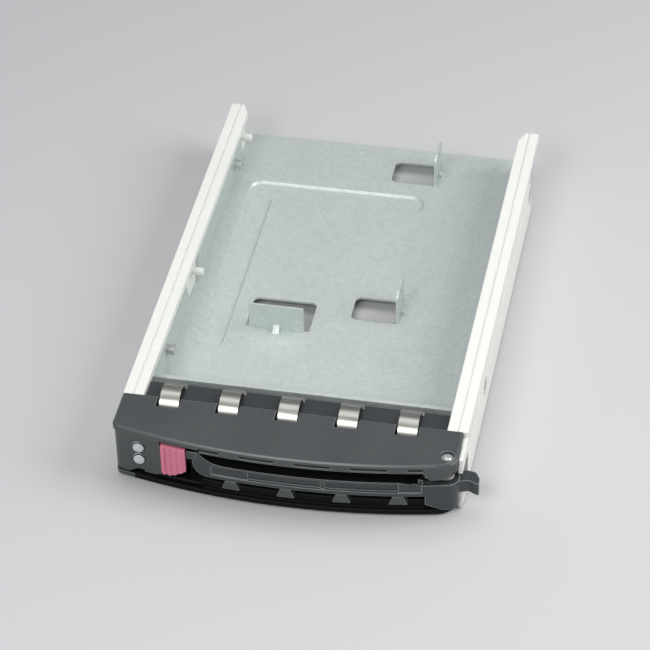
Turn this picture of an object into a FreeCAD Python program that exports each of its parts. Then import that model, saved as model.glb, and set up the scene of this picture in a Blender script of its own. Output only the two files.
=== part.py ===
import FreeCAD, Part
import math
import os
import Sketcher

# Drive bay adapter: a tray of two moulded rails and a bowed bezel that carries a folded sheet pan.
# Millimetres. +X is to the right seen from the front, +Y from the bezel to the rear, +Z up.
# The origin is on the tray's flat underside, midway between the rails, below the pan's front wall.

SIZES = (
    # the tray as a whole
    ("tray_width", 110.0),
    ("tray_height", 21.8),
    ("rail_reach", 139.2),
    ("bezel_reach", 40.0),
    ("bezel_seam", 18.4),
    ("bezel_back", 9.4),
    ("bow", 6.5),
    # the folded pan
    ("pan_length", 146.0),
    ("sheet", 0.8),
    ("pan_lift", 3.2),
    ("wall_rise", 9.4),
    ("hem", 4.0),
    ("front_ear", 46.0),
    ("ear_slant", 4.0),
    ("rear_ear_start", 60.5),
    ("ear_margin", 9.4),
    ("pan_screw_first", 17.0),
    ("pan_screw_pitch", 101.6),
    ("pan_screw_rise", 6.6),
    # the small drive that the pan takes
    ("drive_width", 69.85),
    ("drive_play", 0.15),
    ("drive_hole_inset", 13.6),
    ("drive_hole_pitch", 76.6),
    ("drive_hole_rise", 8.5),
    ("drive_hole_radius", 1.6),
    # tabs, their windows and the pressed bead
    ("tab_length", 11.8),
    ("tab_rise", 12.0),
    ("window_width", 15.5),
    ("window_round", 2.0),
    ("stop_middle", 18.5),
    ("stop_width", 18.4),
    ("stop_rise", 10.0),
    ("stop_ahead", 14.8),
    ("stop_window_depth", 15.0),
    ("relief", 1.6),
    ("gusset", 2.2),
    ("bead_width", 10.4),
    ("bead_depth", 0.8),
    ("bead_slope", 0.76),
    ("bead_left", 39.4),
    ("bead_front", 32.0),
    ("bead_inset", 31.4),
    ("bead_end", 13.6),
    # the rails
    ("pan_gap", 0.1),
    ("rail_web", 1.7),
    ("rail_flange", 6.6),
    ("flange_thick", 2.6),
    ("groove_high", 3.6),
    ("groove_depth", 2.4),
    ("ledge", 2.6),
    ("lower_wall_end", 122.0),
    ("lower_wall_round", 5.0),
    ("top_line_place", 3.0),
    ("top_line_width", 0.5),
    ("top_line_depth", 0.4),
    ("rail_chamfer", 2.0),
    ("rail_chamfer_long", 5.0),
    ("tongue_thick", 1.3),
    ("tongue_reach", 29.0),
    ("tongue_window_low", 2.2),
    ("tongue_window_high", 14.2),
    ("peg_radius", 1.35),
    ("peg_length", 4.2),
    # the bezel
    ("plate", 2.0),
    ("base_plate", 2.2),
    ("base_setback", 1.2),
    ("base_tongue", 6.0),
    ("lip", 1.6),
    ("lip_drop", 1.1),
    ("plate_edge", 1.4),
    ("edge_slope", 0.5),
    ("slot_high", 1.0),
    ("sill_high", 5.4),
    ("sill_setback", 2.6),
    ("tooth_high", 8.0),
    ("tooth_low", 4.8),
    ("tooth_setback", 1.0),
    ("tooth_top", 3.2),
    ("tooth_foot", 5.6),
    ("web_top", 4.9),
    ("web_foot", 6.7),
    ("tooth_first", 16.5),
    ("tooth_pitch", 17.5),
    ("mouth_left", 26.0),
    ("mouth_right", 43.6),
    ("lobe_low", 15.9),
    ("lobe_slope", 2.4),
    ("lobe_wall", 1.4),
    ("lamp_face", 39.4),
    ("lamp_wall", 2.0),
    ("lamp_setback", 1.1),
    ("lens_proud", 0.2),
    ("block_floor", 5.2),
    ("end_low", 3.0),
    ("end_width", 4.6),
    ("end_slope", 3.4),
    ("end_round", 3.2),
    ("round_share", 0.9),
    ("shell", 1.6),
    ("corner_right", 7.5),
    ("corner_left", 2.5),
    ("finger_first", 39.9),
    ("finger_pitch", 19.0),
    ("finger_width", 6.3),
    ("finger_ear", 0.7),
    ("notch_depth", 4.6),
    ("notch_play", 0.6),
    ("fit_gap", 0.1),
    # the lever and its pin
    ("pin_inset", 4.7),
    ("pin_y", 29.9),
    ("pin_radius", 1.3),
    ("pin_head", 1.75),
    ("pin_head_high", 0.6),
    ("pin_recess", 2.2),
    ("pin_recess_deep", 1.3),
    ("pin_seat", 0.6),
    ("running_gap", 0.05),
    ("lever_setback", 0.8),
    ("lever_depth", 4.8),
    ("face_sink", 0.4),
    ("label_sink", 1.0),
    ("upper_rim", 0.7),
    ("lower_rim", 1.3),
    ("pad_left", 22.6),
    ("label_left", 10.8),
    ("divider_left", 12.0),
    ("divider_right", 13.4),
    ("label_right", 36.0),
    ("pad_right", 43.2),
    ("lever_low", 8.5),
    ("lever_high", 14.1),
    ("lever_tip", 28.6),
    ("lever_tip_high", 18.0),
    ("lever_tip_width", 2.4),
    ("knuckle", 3.8),
    ("knuckle_low", 2.6),
    ("knuckle_high", 12.9),
    ("hook_low", 8.0),
    ("hook_high", 12.6),
    ("hook_reach", 5.4),
    ("foot_left", 5.4),
    ("foot_rise", 2.4),
    # the release button
    ("button_left", 38.6),
    ("button_right", 30.6),
    ("button_low", 7.2),
    ("button_drop", 0.9),
    ("button_proud", 0.5),
    ("button_thick", 1.2),
    ("button_rise", 2.8),
    ("button_flat", 3.4),
    ("rib_first", 2.2),
    ("rib_pitch", 2.0),
    ("rib_width", 0.8),
    ("rib_proud", 0.3),
    ("rim_width", 1.2),
    ("rim_proud", 0.5),
    ("stem_place", 3.3),
    ("stem_width", 3.0),
    ("stem_low", 10.5),
    ("stem_high", 15.0),
    ("slide_gap", 0.3),
    # the lamps' light pipes
    ("lamp_inset", 8.5),
    ("upper_lamp", 14.3),
    ("lower_lamp", 9.4),
    ("lamp_radius", 2.1),
    ("pipe", 1.6),
    ("upper_pipe_low", 3.0),
    ("lower_pipe_low", 5.2),
    # springs and screws
    ("clip_thick", 0.3),
    ("arch_radius", 6.0),
    ("wire", 0.6),
    ("coil_radius", 2.1),
    ("button_wire", 0.4),
    ("button_coil", 1.3),
    ("screw_radius", 1.7),
    ("screw_head", 3.2),
    ("screw_head_deep", 1.5),
    ("screw_tip", 2.7),
    ("small_screw_radius", 1.1),
    ("small_screw_head", 1.7),
    ("small_screw_deep", 0.6),
    ("small_screw_length", 6.0),
    ("small_screw_place", 13.0),
)

doc = FreeCAD.newDocument("DriveBayAdapter")
sheet = doc.addObject("Spreadsheet::Sheet", "Sizes")


class Size:
    """A length that keeps the sheet expression it came from."""

    def __init__(self, value, text):
        self.value = value
        self.text = text

    def __add__(self, other):
        other = sized(other)
        return Size(self.value + other.value, "(%s + %s)" % (self.text, other.text))

    def __sub__(self, other):
        other = sized(other)
        return Size(self.value - other.value, "(%s - %s)" % (self.text, other.text))

    def __mul__(self, other):
        other = sized(other)
        return Size(self.value * other.value, "(%s * %s)" % (self.text, other.text))

    def __truediv__(self, other):
        other = sized(other)
        return Size(self.value / other.value, "(%s / %s)" % (self.text, other.text))

    def __neg__(self):
        return Size(-self.value, "(0 - %s)" % self.text)


class Sizes:
    """The sheet's aliases as attributes."""


def sized(number):
    if isinstance(number, Size):
        return number
    return Size(float(number), "(%r)" % float(number))


s = Sizes()
for row, (alias, value) in enumerate(SIZES, start=1):
    sheet.set("A%d" % row, alias)
    sheet.set("B%d" % row, str(value))
    sheet.setAlias("B%d" % row, alias)
    setattr(s, alias, Size(value, "Sizes." + alias))
doc.recompute()


# Small tools: each makes one bound object of the document

def bind(item, prop, size):
    item.setExpression(prop, sized(size).text)


def place(item, x, y, z):
    bind(item, "Placement.Base.x", x)
    bind(item, "Placement.Base.y", y)
    bind(item, "Placement.Base.z", z)


def box(name, x, y, z):
    """A block between two corners; x, y and z are (low, high)."""
    item = doc.addObject("Part::Box", name)
    for prop, (low, high) in zip(("Length", "Width", "Height"), (x, y, z)):
        bind(item, prop, sized(high) - low)
    place(item, x[0], y[0], z[0])
    return item


TURNS = {
    "Z": FreeCAD.Rotation(),
    "X": FreeCAD.Rotation(FreeCAD.Vector(0, 1, 0), 90),
    "-X": FreeCAD.Rotation(FreeCAD.Vector(0, 1, 0), -90),
    "Y": FreeCAD.Rotation(FreeCAD.Vector(1, 0, 0), -90),
}


def rod(name, radius, length, start, axis="Z"):
    item = doc.addObject("Part::Cylinder", name)
    bind(item, "Radius", radius)
    bind(item, "Height", length)
    item.Placement.Rotation = TURNS[axis]
    place(item, *start)
    return item


def taper(name, radius, end_radius, length, start, axis):
    item = doc.addObject("Part::Cone", name)
    bind(item, "Radius1", radius)
    bind(item, "Radius2", end_radius)
    bind(item, "Height", length)
    item.Placement.Rotation = TURNS[axis]
    place(item, *start)
    return item


def fuse(name, *items):
    item = doc.addObject("Part::MultiFuse", name)
    item.Shapes = list(items)
    item.Refine = True
    return item


def common(name, *items):
    item = doc.addObject("Part::MultiCommon", name)
    item.Shapes = list(items)
    return item


def cut(name, base, *tools):
    item = doc.addObject("Part::Cut", name)
    item.Base = base
    item.Tool = tools[0] if len(tools) == 1 else fuse(name + "Tools", *tools)
    item.Refine = True
    return item


def prism(name, plane, points, span, rounds=()):
    """A body padded from a closed outline; rounds are (corner number, radius)."""
    body = doc.addObject("PartDesign::Body", name)
    sketch = body.newObject("Sketcher::SketchObject", name + "Outline")
    support = [f for f in body.Origin.OriginFeatures if f.Role == plane + "_Plane"][0]
    sketch.AttachmentSupport = [(support, "")]
    sketch.MapMode = "FlatFace"
    points = [(sized(u), sized(v)) for u, v in points]
    count = len(points)
    for i, (u, v) in enumerate(points):
        nu, nv = points[(i + 1) % count]
        start = FreeCAD.Vector(u.value, v.value, 0)
        sketch.addGeometry(Part.LineSegment(start, FreeCAD.Vector(nu.value, nv.value, 0)), False)
    for i, (u, v) in enumerate(points):
        sketch.addConstraint(Sketcher.Constraint("Coincident", i, 2, (i + 1) % count, 1))
        for kind, size in (("DistanceX", u), ("DistanceY", v)):
            number = sketch.addConstraint(Sketcher.Constraint(kind, -1, 1, i, 1, size.value))
            sketch.renameConstraint(number, "%s%d" % (kind, i))
            bind(sketch, "Constraints.%s%d" % (kind, i), size)
    low, high = sized(span[0]), sized(span[1])
    bind(sketch, "AttachmentOffset.Base.z", -high if plane == "XZ" else low)
    pad = body.newObject("PartDesign::Pad", name + "Pad")
    pad.Profile = sketch
    bind(pad, "Length", high - low)
    last = pad
    for corner, radius in rounds:
        doc.recompute()
        edges = corner_edges(last.Shape, plane, points[corner])
        feature = body.newObject("PartDesign::Fillet", "%sRound%d" % (name, corner))
        feature.Base = (last, edges)
        bind(feature, "Radius", radius)
        last = feature
    return body


def corner_edges(shape, plane, point):
    """Names of the padded edges that stand on an outline's corner."""
    first = "XYZ".index(plane[0])
    second = "XYZ".index(plane[1])
    names = []
    for number, edge in enumerate(shape.Edges, start=1):
        ends = [vertex.Point for vertex in edge.Vertexes]
        near = [abs(p[first] - point[0].value) + abs(p[second] - point[1].value) < 1e-4 for p in ends]
        if len(ends) == 2 and all(near):
            names.append("Edge%d" % number)
    return names


def round_edges(name, base, radius, wanted):
    """Rounds the straight edges whose middle passes the test."""
    doc.recompute()
    item = doc.addObject("Part::Fillet", name)
    item.Base = base
    edges = []
    for number, edge in enumerate(base.Shape.Edges, start=1):
        straight = edge.Curve.TypeId == "Part::GeomLine"
        if straight and wanted(edge):
            edges.append((number, radius.value, radius.value))
    item.Edges = edges
    return item


def soften(name, base, size, wanted):
    """Chamfers every edge, curved ones too, that passes the test."""
    doc.recompute()
    item = doc.addObject("Part::Chamfer", name)
    item.Base = base
    numbered = enumerate(base.Shape.Edges, start=1)
    item.Edges = [(number, size.value, size.value) for number, edge in numbered if wanted(edge)]
    return item


def level(edge, height):
    """True for an edge that lies flat at a height."""
    box_size = edge.BoundBox
    return abs(box_size.ZMin - height.value) < 1e-4 and abs(box_size.ZMax - height.value) < 1e-4


def upright(edge):
    return abs(edge.tangentAt(edge.FirstParameter).z) > 0.99


def sided(side, low, high):
    """An X span on the right (+1) or mirrored to the left (-1)."""
    if side > 0:
        return (sized(low), sized(high))
    return (-sized(high), -sized(low))


# Places that several pieces share

half = s.tray_width / 2
pan_half = half - s.groove_depth - s.rail_web - s.pan_gap
top = s.tray_height
seam = -s.bezel_seam
back = -s.bezel_back
web_in = pan_half + s.pan_gap
web_out = web_in + s.rail_web
flange_in = half - s.rail_flange
flange_low = top - s.flange_thick
groove_floor = flange_low - s.groove_high
floor_top = s.pan_lift + s.sheet
plate_low = top - s.plate
lip_low = plate_low - s.lip_drop
slot_high = top - s.plate_edge
slot_low = slot_high - s.slot_high
button_high = plate_low - s.button_drop
plate_right = half - s.tongue_thick - s.fit_gap
bow_radius = (half * half + s.bow * s.bow) / (s.bow * 2)
bow_centre = bow_radius - s.bezel_reach
pin_x = half - s.pin_inset
pin_at = (pin_x, -s.pin_y)
lamp_x = half - s.lamp_inset
lamp_y = -s.bezel_reach + s.bow * lamp_x * lamp_x / (half * half) + s.lamp_setback
screw_length = half - pan_half + s.sheet + s.screw_tip
screw_height = floor_top + s.pan_screw_rise
peg_height = floor_top + s.drive_hole_rise
rear_hole = s.pan_length - s.drive_hole_inset
drive_holes = (rear_hole - s.drive_hole_pitch, rear_hole)
stop_place = drive_holes[0] - s.stop_ahead
bead_rear = s.pan_length - s.bead_inset
pan_screw_places = (s.pan_screw_first, s.pan_screw_first + s.pan_screw_pitch)
rear_ear_end = pan_screw_places[1] + s.ear_margin
small_screw_height = (groove_floor + flange_low) / 2
sides = ((1, "Right"), (-1, "Left"))
nodes = {}


def keep(label, item):
    item.Label = label
    nodes[label] = item


def drum(name, inset, z):
    """The bezel's bow as a standing drum, set back by an inset."""
    low, high = sized(z[0]), sized(z[1])
    return rod(name, bow_radius - inset, high - low, (0, bow_centre, low))


def bowed(name, inset, x, rear, z):
    """A slab with a bowed front and a straight rear."""
    block = box(name + "Block", x, (-s.bezel_reach - s.shell * 2, rear), z)
    return common(name, block, drum(name + "Drum", inset, z))


def band(name, inset, depth, x, z):
    """A wall that follows the bow."""
    slab = bowed(name + "Slab", inset, x, -s.bezel_seam, z)
    return cut(name, slab, drum(name + "Core", sized(inset) + depth, z))


# The folded pan

def slot_box(name, x, y, z, radius):
    """A long block with round ends, laid along X or Y."""
    low, high = sized(z[0]), sized(z[1])
    along_x = abs((sized(x[1]) - x[0]).value) > abs((sized(y[1]) - y[0]).value)
    if along_x:
        middle = (sized(y[0]) + y[1]) / 2
        ends = ((x[0], middle), (x[1], middle))
    else:
        middle = (sized(x[0]) + x[1]) / 2
        ends = ((middle, y[0]), (middle, y[1]))
    rods = []
    for number, end in enumerate(ends):
        rods.append(rod("%sEnd%d" % (name, number), radius, high - low, (end[0], end[1], low)))
    return fuse(name, box(name + "Run", x, y, z), *rods)


def bead(name, width, z):
    """The L-shaped bead: a run along the left and one across the rear."""
    reach = sized(width) / 2
    left = (-s.bead_left - reach, -s.bead_left + reach)
    rear = (bead_rear - reach, bead_rear + reach)
    along = slot_box(name + "Along", left, (s.bead_front, bead_rear), z, reach)
    across = slot_box(name + "Across", (-s.bead_left, s.bead_end), rear, z, reach)
    return fuse(name, along, across)


def ear(name, side, start, end, front_slant, rise):
    """An upturned side ear whose rear edge slopes, and its front edge too when asked."""
    outline = (
        (start, s.pan_lift),
        (sized(end) + s.ear_slant, s.pan_lift),
        (end, rise),
        (sized(start) + front_slant, rise),
    )
    return prism(name, "YZ", outline, sided(side, pan_half - s.sheet, pan_half))


def side_tab(name, x, middle):
    """An upright screw tab with rounded top corners and a pressed gusset."""
    reach = s.tab_length / 2
    outline = (
        (middle - reach, s.pan_lift),
        (middle + reach, s.pan_lift),
        (middle + reach, floor_top + s.tab_rise),
        (middle - reach, floor_top + s.tab_rise),
    )
    plate = prism(name, "YZ", outline, (x, x + s.sheet), ((2, s.tab_length / 4), (3, s.tab_length / 4)))
    foot = x + s.sheet
    corner = ((foot, floor_top), (foot + s.gusset, floor_top), (foot, floor_top + s.gusset))
    web = prism(name + "Gusset", "XZ", corner, (middle - s.gusset / 2, middle + s.gusset / 2))
    hole = rod(name + "Hole", s.drive_hole_radius, s.sheet * 3, (x - s.sheet, middle, peg_height), "X")
    return cut(name + "Drilled", fuse(name + "Braced", plate, web), hole)


def window(name, x, y, z, rounded):
    """The opening that a tab is cut from, with round corners away from the tab."""
    outline = ((x[0], y[0]), (x[1], y[0]), (x[1], y[1]), (x[0], y[1]))
    return prism(name, "XY", outline, z, [(corner, s.window_round) for corner in rounded])


def make_pan():
    edge = pan_half
    rise = floor_top + s.wall_rise
    solids = [
        box("PanFloor", (-edge, edge), (0, s.pan_length), (s.pan_lift, floor_top)),
        box("PanFront", (-edge, edge), (0, s.sheet), (s.pan_lift, rise)),
        box("FrontHem", (-edge + s.sheet, edge - s.sheet), (s.sheet, s.sheet * 2), (rise - s.hem, rise)),
        bead("BeadRidge", s.bead_width, (s.pan_lift - s.bead_depth, s.pan_lift)),
    ]
    for side, word in sides:
        solids.append(ear("FrontEar" + word, side, 0, s.front_ear, 0, rise))
        solids.append(ear("RearEar" + word, side, s.rear_ear_start, rear_ear_end, s.ear_slant,
                          flange_low - s.slide_gap))
    through = (s.pan_lift - s.sheet, floor_top + s.sheet)
    tab_x = -edge + s.sheet + s.drive_width + s.drive_play
    bead_floor = floor_top - s.bead_depth
    hollow = bead("BeadHollow", s.bead_width - s.sheet, (bead_floor, floor_top + s.sheet))
    tools = [soften("BeadSlope", hollow, s.bead_slope, lambda e: level(e, bead_floor))]
    tabs = []
    for number, middle in enumerate(drive_holes, start=1):
        reach = s.tab_length / 2
        tools.append(window("SideWindow%d" % number, (tab_x - s.window_width, tab_x),
                            (middle - reach, middle + reach), through, (0, 3)))
        tabs.append(side_tab("SideTab%d" % number, tab_x, middle))
    stop = (-s.stop_middle - s.stop_width / 2, -s.stop_middle + s.stop_width / 2)
    tools.append(window("StopWindow", (stop[0] - s.relief, stop[1] + s.relief),
                        (stop_place, stop_place + s.stop_window_depth), through, (2, 3)))
    tabs.append(box("StopTab", stop, (stop_place - s.sheet, stop_place),
                    (s.pan_lift, floor_top + s.stop_rise)))
    foot = stop_place - s.sheet
    corner = ((foot, floor_top), (foot, floor_top + s.gusset), (foot - s.gusset, floor_top))
    tabs.append(prism("StopGusset", "YZ", corner,
                      (-s.stop_middle - s.gusset / 2, -s.stop_middle + s.gusset / 2)))
    for place_y in pan_screw_places:
        for side, word in sides:
            low, high = sided(side, edge - s.sheet * 2, edge + s.sheet)
            tools.append(rod("EarHole%s%d" % (word, int(place_y.value)), s.screw_radius, high - low,
                             (low, place_y, screw_height), "X"))
    for number, place_y in enumerate(drive_holes, start=1):
        tools.append(rod("PegWay%d" % number, s.peg_radius + s.slide_gap, s.sheet * 3,
                         (-edge - s.sheet, place_y, peg_height), "X"))
    pierced = cut("PanPierced", fuse("PanBlank", *solids), *tools)
    keep("adapter_pan", fuse("AdapterPan", pierced, *tabs))


# The rails

def make_rail(side, word):
    label = word.lower() + "_rail"
    outline = (
        (web_in - s.ledge, 0),
        (half, 0),
        (half, groove_floor),
        (web_out, groove_floor),
        (web_out, flange_low),
        (half, flange_low),
        (half, top),
        (flange_in, top),
        (flange_in, flange_low),
        (web_in, flange_low),
        (web_in, s.pan_lift),
        (web_in - s.ledge, s.pan_lift),
    )
    mirrored = [(sized(x) if side > 0 else -sized(x), z) for x, z in outline]
    bar = prism(word + "Bar", "XZ", mirrored, (seam, s.rail_reach))
    lower_end = box(word + "LowerEnd", sided(side, web_out, half + 1), (s.lower_wall_end, s.rail_reach + 1),
                    (-1, groove_floor))
    trimmed = cut(word + "Trimmed", bar, lower_end)
    corner = (s.lower_wall_end.value, groove_floor.value)
    rounded = round_edges(word + "Rounded", trimmed, s.lower_wall_round,
                          lambda edge: abs(edge.CenterOfMass.y - corner[0]) < 0.01
                          and abs(edge.CenterOfMass.z - corner[1]) < 0.01)
    tongue = box(word + "Tongue", sided(side, half - s.tongue_thick, half), (-s.tongue_reach, seam),
                 (0, plate_low - s.fit_gap))
    window = box(word + "TongueWindow", sided(side, half - s.tongue_thick * 2, half + 1),
                 (-s.tongue_reach - 1, seam), (s.tongue_window_low, s.tongue_window_high))
    solids = [rounded, cut(word + "TongueCut", tongue, window)]
    line = sided(side, half - s.top_line_place - s.top_line_width, half - s.top_line_place)
    tools = [box(word + "TopLine", line, (seam - 1, s.rail_reach + 1), (top - s.top_line_depth, top + 1))]
    inner = flange_in if side > 0 else -flange_in
    outward = s.rail_chamfer if side > 0 else -s.rail_chamfer
    corner = ((inner, s.rail_reach + 1), (inner, s.rail_reach - s.rail_chamfer_long),
              (inner + outward, s.rail_reach),
              (inner + outward, s.rail_reach + 1))
    tools.append(prism(word + "RearCorner", "XY", corner, (flange_low - 1, top + 1)))
    axis = "-X" if side > 0 else "X"
    face = half if side > 0 else -half
    groove = web_out if side > 0 else -web_out
    for number, place_y in enumerate(pan_screw_places, start=1):
        at = (face, place_y, screw_height)
        tools.append(taper("%sSink%d" % (word, number), s.screw_head, s.screw_radius, s.screw_head_deep, at,
                           axis))
        tools.append(rod("%sScrewHole%d" % (word, number), s.screw_radius, half - web_in + 1, at, axis))
    at = (groove, -s.small_screw_place, small_screw_height)
    tools.append(taper(word + "SmallSink", s.small_screw_head, s.small_screw_radius, s.small_screw_deep, at,
                       axis))
    tools.append(rod(word + "SmallHole", s.small_screw_radius, s.rail_web + 1, at, axis))
    if side < 0:
        for number, place_y in enumerate(drive_holes, start=1):
            start = (-web_in - s.rail_web / 2, place_y, peg_height)
            solids.append(rod("Peg%d" % number, s.peg_radius, s.peg_length + s.rail_web / 2, start, "X"))
        for name, low in (("Upper", s.upper_pipe_low), ("Lower", s.lower_pipe_low)):
            tools.append(box(name + "PipeChannel", (-half - 1, -half + s.pipe + s.fit_gap),
                             (seam - 1, s.rail_reach + 1),
                             (low, low + s.pipe)))
            tools.append(box(name + "PipeLead", (-half - 1, -half + s.pipe * 1.7), (seam - 1, seam + s.pipe),
                             (low, low + s.pipe)))
    keep(label, cut(word + "Rail", fuse(word + "RailBlank", *solids), *tools))


# The bezel

def lip_slots():
    """Slots between the webs of the upper lip; the webs widen downwards."""
    webs = [-s.tooth_first + s.tooth_pitch * number for number in range(4)]
    starts = [-s.mouth_left - s.web_foot / 2] + webs
    ends = webs + [s.mouth_right + s.web_foot / 2]
    slots = []
    for number, (start, end) in enumerate(zip(starts, ends)):
        outline = (
            (start + s.web_foot / 2, slot_low),
            (end - s.web_foot / 2, slot_low),
            (end - s.web_top / 2, slot_high),
            (start + s.web_top / 2, slot_high),
        )
        name = "LipSlot%d" % number
        opening = prism(name + "Opening", "XZ", outline, (-s.bezel_reach - 1, seam))
        depth = band(name + "Depth", -s.lip, s.lip * 2, (start, end), (slot_low, slot_high))
        slots.append(common(name, opening, depth))
    return slots


def sill_teeth():
    """Teeth that stand out from the lower sill, wide at the foot."""
    teeth = []
    for number in range(4):
        middle = -s.tooth_first + s.tooth_pitch * number
        outline = (
            (middle - s.tooth_foot / 2, s.tooth_low),
            (middle + s.tooth_foot / 2, s.tooth_low),
            (middle + s.tooth_top / 2, s.tooth_high),
            (middle - s.tooth_top / 2, s.tooth_high),
        )
        blade = prism("Tooth%dBlade" % number, "XZ", outline, (-s.bezel_reach - 1, seam))
        wall = band("Tooth%dWall" % number, s.tooth_setback, s.sill_setback - s.tooth_setback + s.lip,
                    (middle - s.tooth_foot, middle + s.tooth_foot), (s.tooth_low, s.tooth_high))
        teeth.append(common("Tooth%d" % number, blade, wall))
    return teeth


def right_lobe(outline):
    """The deeper end of the upper lip, which follows the plate round its right corner."""
    rear = -s.pin_y + s.knuckle
    outer = outline("LobeOuter", 0, plate_right, s.corner_right, rear)
    inner = outline("LobeInner", s.lobe_wall, plate_right - s.lobe_wall, s.corner_right - s.lobe_wall, rear)
    ring = cut("LobeRing", outer, inner)
    side = (
        (s.mouth_right, plate_low),
        (s.mouth_right, lip_low),
        (s.mouth_right + s.lobe_slope, s.lobe_low),
        (half, s.lobe_low),
        (half, plate_low),
    )
    return common("RightLobe", ring, prism("LobeSide", "XZ", side, (-s.bezel_reach - 1, seam)))


def finger_middles():
    return [-s.finger_first + s.finger_pitch * number for number in range(5)]


def bezel_shell():
    """The plates, lips and walls that make the bezel's box."""
    left_wall = -half + s.tongue_thick + s.fit_gap
    plate = bowed("TopPlate", 0, (-half, plate_right), seam, (plate_low, top))
    base = bowed("BasePlate", s.base_setback, (-half, plate_right), seam, (0, s.base_plate))
    solids = []
    for name, slab in (("TopPlate", plate), ("BasePlate", base)):
        right = round_edges(name + "Right", slab, s.corner_right,
                            lambda e: upright(e) and e.CenterOfMass.x > 0
                            and e.CenterOfMass.y < seam.value - 1)
        both = round_edges(name + "Left", right, s.corner_left,
                           lambda e: upright(e) and e.CenterOfMass.x < -half.value + 0.01
                           and e.CenterOfMass.y < seam.value - 1)
        rim = top if slab is plate else sized(0)
        solids.append(soften(name + "Soft", both, s.edge_slope,
                             lambda e: level(e, rim) and e.BoundBox.YMin < seam.value - 0.01))
    rear_edge = web_in - s.ledge - s.fit_gap
    solids.append(box("BaseRear", (-rear_edge, rear_edge), (seam - s.shell, s.base_tongue),
                      (0, s.base_plate)))
    solids.append(band("UpperLip", 0, s.lip, (-s.mouth_left, s.mouth_right + s.lobe_slope),
                       (lip_low, plate_low)))
    solids.append(band("Sill", s.sill_setback, s.lip, (-s.mouth_left, s.mouth_right),
                       (s.base_plate, s.sill_high)))
    solids.extend(sill_teeth())

    def lobe_slab(name, inset, right, radius, rear):
        slab = bowed(name, inset, (s.mouth_right, right), rear, (s.lobe_low, plate_low))
        return round_edges(name + "Corner", slab, radius,
                           lambda e: upright(e) and e.CenterOfMass.x > right.value - 0.01
                           and e.CenterOfMass.y < rear.value - 1)

    solids.append(right_lobe(lobe_slab))
    shelf_edge = flange_in - s.fit_gap
    solids.append(box("Shelf", (-shelf_edge, shelf_edge), (seam - s.plate, back),
                      (plate_low - s.plate, plate_low)))
    wall_edge = web_in - s.fit_gap
    wall_low = s.pan_lift + s.fit_gap
    wall_high = flange_low - s.fit_gap
    solids.append(box("RearWall", (-wall_edge, wall_edge), (back - s.shell, back), (wall_low, wall_high)))
    solids.append(box("RearWallMiddle", (-rear_edge, rear_edge), (back - s.shell, back),
                      (0, plate_low - s.plate)))
    for side, word in sides:
        solids.append(box("BoxSide" + word, sided(side, wall_edge - s.shell, wall_edge), (seam, back),
                          (wall_low, wall_high)))
        solids.append(box("ScrewBoss" + word, sided(side, wall_edge - s.small_screw_length, wall_edge),
                          (-s.small_screw_place - s.small_screw_radius * 2, back),
                          (small_screw_height - s.small_screw_radius * 2, wall_high)))
    solids.append(box("LeftWall", (left_wall, left_wall + s.shell), (-s.tongue_reach - s.shell, seam),
                      (s.lower_pipe_low + s.pipe + s.slide_gap, plate_low)))
    solids.append(rod("PinBoss", plate_right - pin_x, s.plate + s.plate / 2, (*pin_at, plate_low - s.plate)))
    post_front = -s.pin_y + s.coil_radius + s.wire / 2
    solids.append(box("SpringPost", (pin_x - s.knuckle * 2, pin_x - s.knuckle * 1.6),
                      (post_front, post_front + s.shell), (plate_low - s.plate * 2.4, plate_low)))
    return solids


def end_shell(name, z, x):
    """The lamp face and the bezel's left end as one wall with a rounded corner."""
    rear = -s.tongue_reach - s.fit_gap
    block = bowed(name + "Outer", s.lamp_setback, x, rear, z)
    wall = rear + s.bezel_reach - s.bow - s.lamp_setback
    rounding = s.end_round if s.end_round.value < wall.value else wall * s.round_share
    outer = round_edges(name + "Corner", block, rounding,
                        lambda e: upright(e) and e.CenterOfMass.x < -half.value + 0.01
                        and e.CenterOfMass.y < rear.value - 1)
    room = (z[0] - 1, z[1] + 1)
    inner = bowed(name + "Inner", s.lamp_setback + s.lamp_wall, (-half + s.shell, x[1] + 1), rear + 1, room)
    return cut(name, outer, inner)


def end_foot():
    """The lower corner of the left end, which drops below the lamp face in a slope."""
    shell = end_shell("EndFoot", (s.end_low, s.block_floor), (-half, -half + s.end_width + s.end_slope))
    side = (
        (-half, s.end_low),
        (-half + s.end_width, s.end_low),
        (-half + s.end_width + s.end_slope, s.block_floor),
        (-half, s.block_floor),
    )
    return common("EndFootCut", shell, prism("EndFootSide", "XZ", side, (-s.bezel_reach - 1, seam)))


def lamp_block():
    """The block at the left end: lamp face, button bay and the guides for the button."""
    bay = (-s.lamp_face, -s.button_right + s.slide_gap)
    bay_rear = -s.pin_y + s.lever_depth
    floor = (s.block_floor - s.shell / 2, s.block_floor)
    guide_front = -s.bezel_reach + s.bow
    solids = [
        end_shell("LampFace", (s.block_floor, plate_low), (-half, -s.lamp_face)),
        end_foot(),
        bowed("BlockFloor", s.lamp_setback, (-lamp_x + s.pipe, -s.mouth_left), bay_rear, floor),
        box("BayLeft", (bay[0] - s.shell / 2, bay[0]), (guide_front - s.shell, bay_rear),
            (floor[0], plate_low)),
        box("BayRight", (bay[1], bay[1] + s.shell / 2), (guide_front, bay_rear), (floor[0], plate_low)),
        box("GuideLow", bay, (guide_front, bay_rear),
            (s.stem_low - s.slide_gap - s.shell / 2, s.stem_low - s.slide_gap)),
        box("GuideHigh", bay, (guide_front, bay_rear),
            (s.stem_high + s.slide_gap, s.stem_high + s.slide_gap + s.shell / 2)),
        box("BayBack", (bay[0] - s.shell / 2, bay[1] + s.shell / 2), (bay_rear, bay_rear + s.shell / 2),
            (floor[0], plate_low)),
    ]
    return solids


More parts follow.
